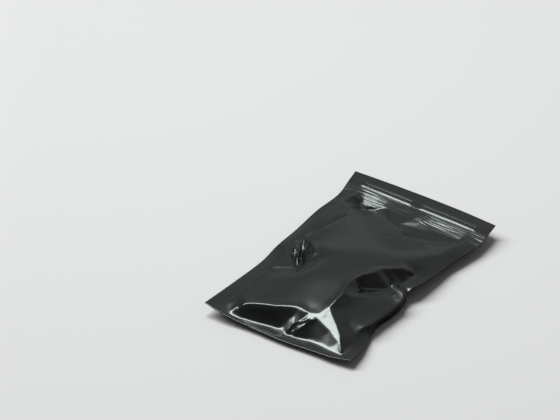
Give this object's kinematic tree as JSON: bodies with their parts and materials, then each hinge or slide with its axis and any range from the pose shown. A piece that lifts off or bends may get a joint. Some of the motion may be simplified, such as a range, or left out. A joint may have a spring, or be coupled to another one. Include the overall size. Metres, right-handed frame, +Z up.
{
  "type": "poly mailer bag",
  "caption": "Small black poly mailer bag of gloss film, softly filled and pressed shut, with welded edges, a closure ridge near its top and crumpled folds.",
  "frame": {"origin": "bottom of the bag, where it rests, under the middle of its outline", "axes": "+Y up the bag's length towards the closure, +Z up through its thickness, +X across it, towards the right edge when the closure is at the top"},
  "size_m": [0.1028, 0.1629, 0.0187],
  "materials": {
    "film": "thin black gloss film with sharp creases and fine crinkles"
  },
  "bodies": {
    "root": {"mailer_bag": "film"}
  },
  "joints": []
}
